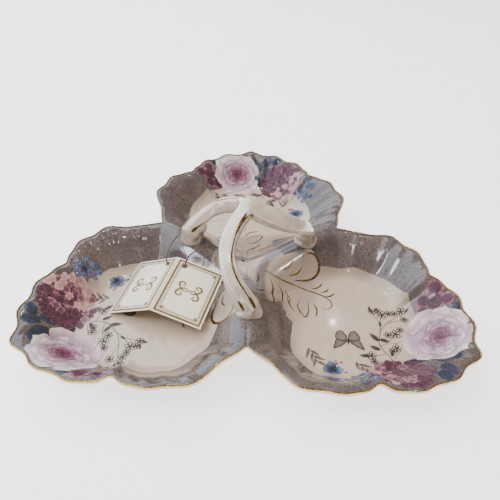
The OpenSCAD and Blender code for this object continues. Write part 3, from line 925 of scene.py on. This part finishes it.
def petal(batch, place, s, t, angle, length, width, base, tip, lift, rows=8, cols=7, vein=0.12,
          fade=0.25, lean=0.0):
    """One petal from its root at (s, t) along angle: widest past its middle, round at its tip."""
    u, v = np.meshgrid(np.sin(np.linspace(0, np.pi / 2, rows)), np.linspace(-1, 1, cols), indexing="ij")
    rise = np.where(u < PETAL_WIDEST, 0.3 + 0.7 * np.sin(np.pi / 2 * u / PETAL_WIDEST),
                    np.sqrt(np.maximum(1 - ((u - PETAL_WIDEST) / (1 - PETAL_WIDEST)) ** 2, 0.003)))
    phase = rng.uniform(0, 6.3)
    out = length * (u * (1 - 0.08 * v * v) + PETAL_WAVE * u * u * np.sin(4 * v + phase))
    side = width / 2 * rise * v
    share = ease((u - fade) / (0.95 - fade) + 0.1 * np.sin(5 * v + phase)) * (1 - lean * ((1 - v) / 2) ** 2)
    tint = base * (1 - share[..., None]) + tip * share[..., None]
    tint = tint * (1 - vein * (0.5 + 0.5 * np.cos(11 * v + phase) * (1 - u))[..., None])
    rim = np.maximum(ease((np.abs(v) - 0.6) / 0.4) * (1 - u), ease((u - 0.93) / 0.07))[..., None]
    tint = tint * (1 - rim * PETAL_RIM)
    lay(batch, place, s, t, angle, out, side, lift, np.clip(tint, 0, 1))


def rosette(batch, place, s, t, rings, facing):
    """Rings of petals from the outside in, pinker away from facing."""
    for i, (count, radius, length, width, base, tip) in enumerate(rings):
        start = rng.uniform(0, 6.3)
        for j in range(count):
            a = start + 2 * math.pi * (j + rng.uniform(-0.2, 0.2)) / count
            shade = rng.uniform(0.9, 1.1)
            grow = rng.uniform(0.85, 1.12)
            pink = 1 - (0.5 - 0.5 * math.cos(a - facing)) * PETAL_PINK
            root = s + radius * math.cos(a), t + radius * math.sin(a)
            petal(batch, place, *root, a + rng.uniform(-0.25, 0.25), length * grow, width * grow,
                  base * shade * pink, tip * shade * pink, RING_LIFT * i + PETAL_LIFT * j,
                  rows=12, cols=11, fade=0.5, lean=0.6)


def floret(batch, place, s, t, size, petals, base, tip, lift, heart=None):
    start = rng.uniform(0, 6.3)
    for j in range(petals):
        a = start + 2 * math.pi * j / petals + rng.uniform(-0.2, 0.2)
        shade = rng.uniform(0.72, 1.12)
        petal(batch, place, s, t, a, size / 2 * rng.uniform(0.8, 1.12), size * 2.1 / petals, base * shade,
              tip * shade, lift + 0.004 * j, rows=6, cols=5, vein=0.06, lean=0.3)
    if heart is not None:
        petal(batch, place, s - 0.08 * size, t, 0, 0.16 * size, 0.17 * size, heart, heart, lift + 0.05,
              rows=4, cols=4)


def leaf(batch, place, s, t, angle, length, width, base, tip, lift):
    rows, cols = 15, 7
    u, v = np.meshgrid(np.linspace(0, 1, rows), np.linspace(-1, 1, cols), indexing="ij")
    half = width / 2 * np.maximum(np.sin(np.pi * u ** 0.8), 0.03)
    bend = 0.12 * length * u * u * rng.choice((-1, 1))
    share = u[..., None]
    tint = (base * (1 - share) + tip * share) * (1 - 0.3 * (np.abs(v) < 0.2)[..., None])
    lay(batch, place, s, t, angle, length * u, half * v + bend, lift, tint)


PALE, MAUVE = rgb(214, 209, 208), rgb(160, 106, 136)
ROSE, BLUSH, DEEP_ROSE = rgb(142, 84, 112), rgb(194, 165, 170), rgb(90, 42, 64)
BLUE, SKY, NAVY, DUSK = rgb(86, 112, 150), rgb(152, 168, 190), rgb(28, 40, 64), rgb(54, 76, 110)
INK_DARK, INK_SOFT = rgb(58, 48, 46), rgb(104, 94, 88)
INK_PALE, CREAM = rgb(168, 158, 148), rgb(204, 190, 180)


def polar(rho, phi):
    """Place on the glaze laid out flat, from its radius in plan."""
    lip = float(edge_r(phi)) - GILT_W
    out = lip * np.interp(rho / lip, IN_PLAN, ALONG)
    return out * cosd(phi), out * sind(phi)


# Rings of a flower: petals, radius of their roots, length, width, and colours at root and tip
PEONY_RINGS = [
    (8, 11, 18, 22, rgb(191, 184, 186), PALE),
    (8, 8, 14.5, 17.5, rgb(187, 173, 181), PALE),
    (7, 5.5, 12.5, 15, rgb(174, 146, 164), rgb(209, 203, 204)),
    (7, 4, 10, 11.5, rgb(164, 126, 152), rgb(207, 197, 201)),
    (7, 2.8, 7.4, 8.6, rgb(152, 98, 132), rgb(198, 176, 190)),
    (6, 1.6, 5.5, 6.4, rgb(132, 70, 102), rgb(190, 152, 172)),
    (5, 0.7, 4, 4.8, rgb(118, 54, 84), rgb(176, 124, 148)),
    (4, 0.1, 2.3, 3, rgb(96, 38, 64), MAUVE),
]
PEONY_LINES, PEONY_INK = 34, rgb(134, 84, 116)
BLOOM_RINGS = [(7, 2.2, 6.4, 6.4, ROSE, BLUSH), (6, 1.4, 4.8, 5, DEEP_ROSE, ROSE),
               (5, 0.4, 3.2, 3.6, rgb(80, 34, 54), ROSE)]


def add_peony(ink, place, s, t, facing):
    """Rings of petals, then the fine lines of their folds."""
    rosette(ink, place, s, t, PEONY_RINGS, facing)
    above = raised(place, RING_LIFT * len(PEONY_RINGS) + 0.02)
    for _ in range(PEONY_LINES):
        r, a, turn = rng.uniform(3.5, 21), rng.uniform(0, 6.3), rng.uniform(1.5, 4)
        points = [(s + r * k * math.cos(a + o * turn / r), t + r * k * math.sin(a + o * turn / r))
                  for o, k in ((-1, 1.1), (-0.4, 0.98), (0.4, 1), (1, 1.14))]
        stroke(ink, above, points, 0.4, PEONY_INK * (0.6 + 0.04 * r), lo=0.3, dome=0.01)


def disc(count, radius, gap):
    """Places spread over a disc, no two nearer than gap."""
    found = []
    for _ in range(4000):
        r, a = radius * math.sqrt(rng.uniform()), rng.uniform(0, 6.3)
        p = (r * math.cos(a), r * math.sin(a))
        if all(math.dist(p, q) > gap for q in found):
            found.append(p)
        if len(found) == count:
            break
    return found


# Sprig: stems by width, flowers by place and size, leaves by place, direction and length
SPRIG_STEMS = [
    (0.7, [(47, -21), (40, -15), (33, -11), (28.6, -6), (26, 4), (23, 13), (21, 20)]),
    (0.5, [(25.5, 5), (27, 15), (31, 25), (33.5, 31)]), (0.5, [(23, 12), (18, 17), (14, 20)]),
    (0.5, [(37, -13), (32, -18), (29.5, -20)]), (0.5, [(31, -9), (35, 0), (36.6, 7)]),
    (0.45, [(43, -17), (44, -10), (45, -4)]), (0.45, [(46, -20), (40, -24), (37, -27)]),
    (0.4, [(28, 17), (33, 22), (37, 26)]), (0.4, [(34, -4), (40, 0), (42, 3)]),
]
SPRIG_FLOWERS = [
    (21, 22.8, 6.6), (13, 21.6, 5.2), (33, 34, 5.6), (38, 27.5, 5), (28, -21, 5.8), (36.8, 9, 6.2),
    (29, 29.5, 4.6), (42, -4, 5.4), (36, -28, 5.4), (16.5, 25, 4.6), (40, -8, 4.8), (32, 5, 5),
    (38.5, 15, 4.6), (25, 27, 4.4), (31.5, -25, 4.6),
]
SPRIG_LEAVES = [
    (28, -5, 150, 10), (27.5, -3, 20, 8.5), (32, -12, 190, 9), (12, 21, 130, 6.5), (36, 34, 60, 5.5),
    (27, -22, 200, 8), (24, 10, 110, 5.5), (36, -29, 240, 7), (14, 24, 80, 5), (41, -14, 95, 7),
]
SPRIG_FLOWER_SIZE, SPRIG_LEAF_W = 1.25, 0.42
# Butterfly: place and heading in the plan, then the outlines of its wings, sideways and ahead
BUTTERFLY, WING = (7.3, -16.5, 118), rgb(170, 158, 147)
WINGS = [
    [(0.5, 0.6), (1.4, 5), (3.6, 8.6), (6.6, 8.8), (8.8, 5.6), (9.2, 1.4), (5.6, -0.8), (2.4, -0.6)],
    [(0.7, -0.6), (4.4, -1), (8.6, 0.2), (10.2, -3.4), (11.6, -8.4), (8.4, -7.2), (5, -5.6), (2.2, -2.8)],
]


def add_sprig(ink, place):
    for width, points in SPRIG_STEMS:
        stroke(ink, place, points, width, INK_DARK, lo=0.6)
    for s, t, size in SPRIG_FLOWERS:
        size *= SPRIG_FLOWER_SIZE
        start = rng.uniform(0, 6.3)
        for j in range(5):
            a = start + j * 2 * math.pi / 5
            mid, tip_at = size * 0.3, size * 0.5
            ring = [(s + d * math.cos(a + o), t + d * math.sin(a + o))
                    for d, o in ((0.5, 0), (mid, -0.5), (tip_at, -0.28), (tip_at, 0.28), (mid, 0.5))]
            stroke(ink, place, ring, 0.6, INK_DARK * rng.uniform(0.6, 1.2), closed=True, spacing=0.45)
            stroke(ink, place, [(s, t), ring[2]], 0.35, INK_DARK, lo=0.5, spacing=0.8)
        petal(ink, place, s - 0.5, t, 0, 1.0, 1.0, INK_DARK, INK_DARK, 0.04, rows=4, cols=4)
    for s, t, angle, length in SPRIG_LEAVES:
        leaf(ink, place, s, t, math.radians(angle), length, length * SPRIG_LEAF_W,
             INK_DARK, INK_SOFT, 0.03)


def add_butterfly(ink, place):
    s, t, heading = BUTTERFLY

    def at(points):
        p = np.asarray(points, float)
        x, y = rotate(p[..., 1], p[..., 0], math.radians(heading))
        return np.stack([s + x, t + y], -1)
    for side in (-1, 1):
        for outline in WINGS:
            ring = catmull(np.array(outline) * (side, 1), 4, closed=True)
            ring = np.vstack([ring, ring[:1]])
            root = np.array(outline[0]) * (side, 1)
            share = np.linspace(0.06, 1, 7)[:, None, None]
            grid = at(root * (1 - share) + ring * share)
            tint = WING * (1 - 0.6 * share ** 3) + 0 * grid[..., :1]
            ink.add(place(grid[..., 0], grid[..., 1], 0.02 + 0 * grid[..., 0]), tint)
            for tip in outline[1:]:
                vein = at([root + (np.array(tip) * (side, 1) - root) * k for k in (0.1, 0.5, 0.95)])
                stroke(ink, raised(place, 0.04), vein, 0.34, INK_DARK, lo=0.6, dome=0.01)
            edge = at(np.array(outline) * (side, 1))
            stroke(ink, raised(place, 0.05), edge, 0.6, INK_DARK, closed=True, spacing=0.5, dome=0.01)
        feeler = at([(0, 2.6), (side * 1.2, 5.4), (side * 2.6, 7.6)])
        stroke(ink, place, feeler, 0.3, INK_DARK, lo=0.6)
    leaf(ink, place, *at((0, -4.6)), math.radians(heading), 8, 1.7, INK_DARK, INK_DARK, 0.08)


# Grey sprays and dark leaves: plan radius, bearing, direction, then count or length
SPRAYS = [(38, -58, 35, 3), (42, -111, 75, 3), (49, -40, 30, 2)]
DARK_LEAVES = [
    (60, -12, 60, 20), (70, -8, 20, 20), (64, -20, 10, 19), (75, -12, 330, 17), (58, -8, 250, 14),
    (78, -17, 300, 15), (80, -6, 80, 13), (72, 32, 130, 13), (77, 29, 50, 11), (68, -24, 320, 15),
]
SPRAY_STEP, SPRAY_TURN, SPRAY_LEAF_L, SPRAY_LEAF_W, DARK_LEAF_W = 2.6, 0.6, (8, 12), 2.6, 0.62
# Small roses: plan radius, bearing and size
BLOOMS = [(69, 39, 1.15), (61, 35, 0.9), (73, 46, 0.85), (63, 43, 0.75), (76, 37, 0.8)]
# Buds: count, and the ranges of their plan radius, bearing and size
BUDS, BUD_RHO, BUD_PHI, BUD_SIZE = 9, (40, 50), (-84, -68), (1.8, 3)
# Plan radius and bearing of the larger flowers
BLUE_FLOWER, BLUE_CLUSTER, HYDRANGEA, PEONY, PEONY_FACING = (49, -80), (63, -62), (63, -33), (68, 13), 20
# Florets of the two clusters: count, radius and least gap of their places, then the range of their sizes
BLUE_PLACES, BLUE_SIZE, PINK_PLACES, PINK_SIZE = (12, 11.5, 4.8), (5, 8), (72, 22, 3.9), (7, 9.6)
# Heights of the print's layers over the glaze
PRINT_LAYERS = (0.1, 0.15, 0.19, 0.28)


def add_spray(ink, place, rho, phi, turn, pairs):
    s, t = polar(rho, phi)
    d = math.radians(phi + turn)

    def along(x):
        return s + x * math.cos(d), t + x * math.sin(d)
    run = SPRAY_STEP * pairs
    stroke(ink, place, [along(x) for x in (0, run, 2 * run)], 0.6, INK_SOFT, lo=0.5)
    for j in range(2 * pairs):
        a = d + (SPRAY_TURN if j % 2 else -SPRAY_TURN)
        leaf(ink, place, *along(SPRAY_STEP * j), a, rng.uniform(*SPRAY_LEAF_L), SPRAY_LEAF_W,
             INK_SOFT, INK_PALE, 0.01 * j)


def add_blue_cluster(ink, place):
    s, t = polar(*BLUE_CLUSTER)
    for ds, dt in disc(*BLUE_PLACES):
        light = rng.uniform()
        base = NAVY if light < 0.2 else BLUE
        tip = BLUE if light < 0.4 else SKY
        floret(ink, place, s + ds, t + dt, rng.uniform(*BLUE_SIZE), 5, base, tip, 0.03,
               heart=PALE if light > 0.5 else None)


def add_hydrangea(ink, place):
    """Florets that are paler towards the bowl's middle."""
    s, t = polar(*HYDRANGEA)
    for ds, dt in disc(*PINK_PLACES):
        light = rng.uniform(0, 0.75) - 0.02 * ds - 0.012 * dt + 0.12
        base, tip = (DEEP_ROSE, ROSE) if light < 0.56 else (ROSE, BLUSH) if light < 0.82 else (BLUSH, CREAM)
        floret(ink, place, s + ds, t + dt, rng.uniform(*PINK_SIZE), 4, base, tip, 0.002 * rng.integers(40))


def add_print(name, az):
    ink = Patches()

    def on_glaze(s, t, lift):
        return on_bowl(s, t, az, lift)
    ground, mid, high, top = (raised(on_glaze, height) for height in PRINT_LAYERS)
    for spray in SPRAYS:
        add_spray(ink, ground, *spray)
    add_sprig(ink, ground)
    add_butterfly(ink, ground)
    for _ in range(BUDS):
        at = polar(rng.uniform(*BUD_RHO), rng.uniform(*BUD_PHI))
        floret(ink, ground, *at, rng.uniform(*BUD_SIZE), 3, ROSE, BLUSH, 0.02)
    for i, (rho, phi, angle, length) in enumerate(DARK_LEAVES):
        leaf(ink, mid, *polar(rho, phi), math.radians(angle), length, length * DARK_LEAF_W,
             NAVY, DUSK, 0.004 * i)
    floret(ink, mid, *polar(*BLUE_FLOWER), 15, 4, NAVY, SKY, 0.02, heart=INK_DARK)
    add_blue_cluster(ink, mid)
    add_hydrangea(ink, high)
    for rho, phi, size in BLOOMS:
        rings = [(n, r * size, l * size, b * size, x, y) for n, r, l, b, x, y in BLOOM_RINGS]
        rosette(ink, high, *polar(rho, phi), rings, 0)
    add_peony(ink, top, *polar(*PEONY), math.radians(PEONY_FACING))
    ink.build(f"{name}_flower_print", "dish", INK)


for lobe, azimuth in LOBES.items():
    add_gold(lobe, azimuth)
    add_print(lobe, azimuth)


# Gold on the arms: lift over the glaze, step from stroke to stroke, rise at the middle, width at the ends
ARM_GOLD_LIFT, ARM_GOLD_STEP, ARM_GOLD_DOME, ARM_GOLD_THIN = 0.08, 0.01, 0.06, 0.3
# Strokes on each arm: width, then share of the arm's length and angle round it
ARM_STROKES = [
    (1.5, [(0.03, 24), (0.13, 32), (0.29, 28), (0.48, 24), (0.75, 20), (0.82, 18)]),
    (2.6, [(0.72, 20), (0.79, 19), (0.86, 11), (0.93, 4)]),
    (1.8, [(0.8, 22), (0.88, 21), (0.935, 30), (0.955, 56), (0.945, 80)]),
    (2.8, [(0.0, 22), (0.05, 28), (0.1, 31)]),
    (2.6, [(0.02, 321), (0.06, 319), (0.11, 317)]),
    (1.3, [(0.2, 131), (0.1, 116), (0.03, 100)]),
    (2.6, [(0.11, 118), (0.07, 110), (0.02, 99)]),
]


def nearest_glaze(points):
    """Nearest places on the handle's glaze, and the normals there."""
    hits = [HANDLE_TREE.find_nearest(Vector(p)) for p in points]
    return np.array([h[0] for h in hits]), np.array([h[1] for h in hits])


def on_handle(points, width, lift):
    at, normal = nearest_glaze(resample(catmull(points, 8), 0.7))
    side = unit(np.cross(normal, unit(np.gradient(at, axis=0))))
    w = width / 2 * brush(np.linspace(0, 1, len(at)), ARM_GOLD_THIN)
    cols = []
    for a in ACROSS:
        spot, out = nearest_glaze(at + a * w[:, None] * side)
        cols.append(spot + (lift + ARM_GOLD_DOME * (a == 0)) * out)
    return np.stack(cols, 1)


def add_arm_gold(name, az):
    gold = Patches()
    for i, (width, points) in enumerate(ARM_STROKES):
        line = turned(arm_surface(*np.array(points).T), az)
        gold.add(on_handle(line, width, ARM_GOLD_LIFT + ARM_GOLD_STEP * i), NO_TINT)
    gold.build(f"{name}_arm_gold", "dish", GOLD_LINE)


for arm, azimuth in ARMS.items():
    add_arm_gold(arm, azimuth)


# Swing card: paper leaves with a printed gold double border and a plain scroll
CREASE, CREASE_AZ, CREASE_RISE = (-66.174, -28, 30.779), 75, 4.5
LEAF_W, LEAF_L, LEAF_TILT = 41, 58, {-1: 14, 1: 25}
# Border lines: inset, step at the corners and width, the gap beside the crease, and the print's lift
BORDERS, CREASE_GAP, CARD_LIFT = [(2.2, 0, 1.8), (4.1, 0, 0.5), (5.2, 2.4, 0.6)], 0.6, 0.03
# Rise of a line's middle in the border, and in the scroll and the hole's ring
BORDER_DOME, CARD_DOME = 0.01, 0.02
# Squares in the border's corners: place and half size
CORNER_AT, CORNER_HALF = 6.0, 1.1
# One of the scroll's four arms, from the leaf's middle, and the width of its line
SCROLL = [(0, 0), (1.5, 4), (-1.5, 8), (-5, 9.5), (-7, 7), (-5.5, 4.6), (-3.6, 5.8), (-4.2, 7.2)]
SCROLL_W = 1.7
# Ring round the punched hole: place, radius, width and points
HOLE_DOWN, HOLE_ACROSS, RING_R, RING_W, RING_POINTS = 6.5, 8, 2.4, 0.6, 16


def border_corners(inset, step):
    """Corners of a border line on a leaf, with a square step at each corner of the leaf."""
    x, lo, hi = LEAF_L / 2 - inset, inset + CREASE_GAP, LEAF_W - inset
    ring = [
        (-x + step, lo), (x - step, lo), (x - step, lo + step), (x, lo + step), (x, hi - step),
        (x - step, hi - step), (x - step, hi), (-x + step, hi), (-x + step, hi - step), (-x, hi - step),
        (-x, lo + step), (-x + step, lo + step),
    ]
    return np.array([p for i, p in enumerate(ring) if step or p not in ring[:i]])


def add_border(gold, place, inset, step, width):
    ring = border_corners(inset, step)
    for a, b in zip(ring, np.roll(ring, -1, axis=0)):
        d = unit(b - a) * width / 2
        ends = np.array((a - d, (a + b) / 2, b + d))
        grid = ends[:, None] + ACROSS[None, :, None] * np.array((-d[1], d[0]))
        lift = BORDER_DOME * (1 - np.abs(ACROSS)) + 0 * grid[..., 0]
        gold.add(place(grid[..., 0], grid[..., 1], lift), NO_TINT)


def add_card(side, node, body):
    dress(NODES[node], PAPER)
    turns = spin(CREASE_AZ, "Z") @ spin(-CREASE_RISE, "Y") @ spin(-side * LEAF_TILT[side], "X")
    pose = np.array(Matrix.Translation(CREASE) @ turns)
    corners = np.array([v.co for v in NODES[node].data.vertices]) / MM
    face = ((corners - pose[:3, 3]) @ pose[:3, :3])[:, 2].max()
    gold = Patches()

    def place(x, y, lift):
        p = np.stack([x, side * y, face + CARD_LIFT + lift], -1)
        return (p @ pose[:3, :3].T + pose[:3, 3])[:, ::side]
    for border in BORDERS:
        add_border(gold, place, *border)
    square = ACROSS * CORNER_HALF
    for x in (CORNER_AT - LEAF_L / 2, LEAF_L / 2 - CORNER_AT):
        for y in (CORNER_AT + CREASE_GAP, LEAF_W - CORNER_AT):
            u, v = np.meshgrid(x + square, y + square, indexing="ij")
            gold.add(place(u, v, 0 * u), NO_TINT)
    for flip in (-1, 1):
        for turn in (-1, 1):
            points = [(turn * x, LEAF_W / 2 + flip * y) for x, y in SCROLL]
            stroke(gold, place, points, SCROLL_W, NO_TINT, dome=CARD_DOME)
    ring = [(LEAF_L / 2 - HOLE_DOWN + RING_R * math.cos(a), HOLE_ACROSS + RING_R * math.sin(a))
            for a in np.arange(RING_POINTS) * 2 * math.pi / RING_POINTS]
    stroke(gold, place, ring, RING_W, NO_TINT, closed=True, spacing=0.5, dome=CARD_DOME)
    gold.build(f"{node}_border", body, GOLD_PRINT)


add_card(-1, "tag_front_leaf", "tag")
add_card(1, "tag_back_leaf", "tag_back")


# Studio: pale floor, soft light from above, two windows and a few small lamps by place, size and power
FLOOR_HALF, FLOOR_LOW, AIM = 30.0, -0.0004, (0, 0, 0.03)
LAMPS = [
    ((0.35, 0.35, 1.1), 0.045, 0.6), ((-0.3, -0.35, 1.1), 0.045, 0.6), ((0.5, -0.3, 1.0), 0.045, 0.6),
    ((-0.15, 0.5, 1.1), 0.045, 0.6), ((0.34, 0.93, 1.1), 0.02, 0.12),
]


def add_floor():
    mesh = bpy.data.meshes.new("floor")
    corners = [(x * FLOOR_HALF, y * FLOOR_HALF, FLOOR_LOW) for x, y in ((-1, -1), (1, -1), (1, 1), (-1, 1))]
    mesh.from_pydata(corners, [], [(0, 1, 2, 3)])
    mesh.materials.append(plain_floor())
    link("floor", mesh)


def add_light(name, place, aim, size, power, colour, shape="RECTANGLE"):
    data = bpy.data.lights.new(name, "AREA")
    data.shape, data.size, data.size_y = shape, size[0], size[1]
    data.energy, data.color = power, colour
    light = link(name, data)
    light.location = place
    light.rotation_mode = "QUATERNION"
    light.rotation_quaternion = (Vector(aim) - Vector(place)).to_track_quat("-Z", "Y")
    return light


def add_lights():
    world = bpy.data.worlds.new("studio")
    world.use_nodes = True
    sky = world.node_tree.nodes["Background"].inputs
    sky["Color"].default_value = (1.0, 0.94, 0.88, 1)
    sky["Strength"].default_value = 0.27
    bpy.context.scene.world = world
    add_light("window_left", (-1.0, 0.6, 0.8), AIM, (2.6, 2.0), 46, (0.7, 0.84, 1.0))
    add_light("window_high", (-0.75, -0.42, 1.05), AIM, (0.13, 0.4), 4, (0.84, 0.91, 1.0))
    ceiling = add_light("ceiling", (-0.1, 0.05, 1.6), (0, 0, 0), (2.2, 2.0), 34, (1.0, 0.89, 0.77))
    ceiling.visible_glossy = False
    for i, (place, size, power) in enumerate(LAMPS):
        add_light(f"lamp_{i}", place, AIM, (size, size), power, (1.0, 0.97, 0.93), "ELLIPSE")


add_floor()
add_lights()
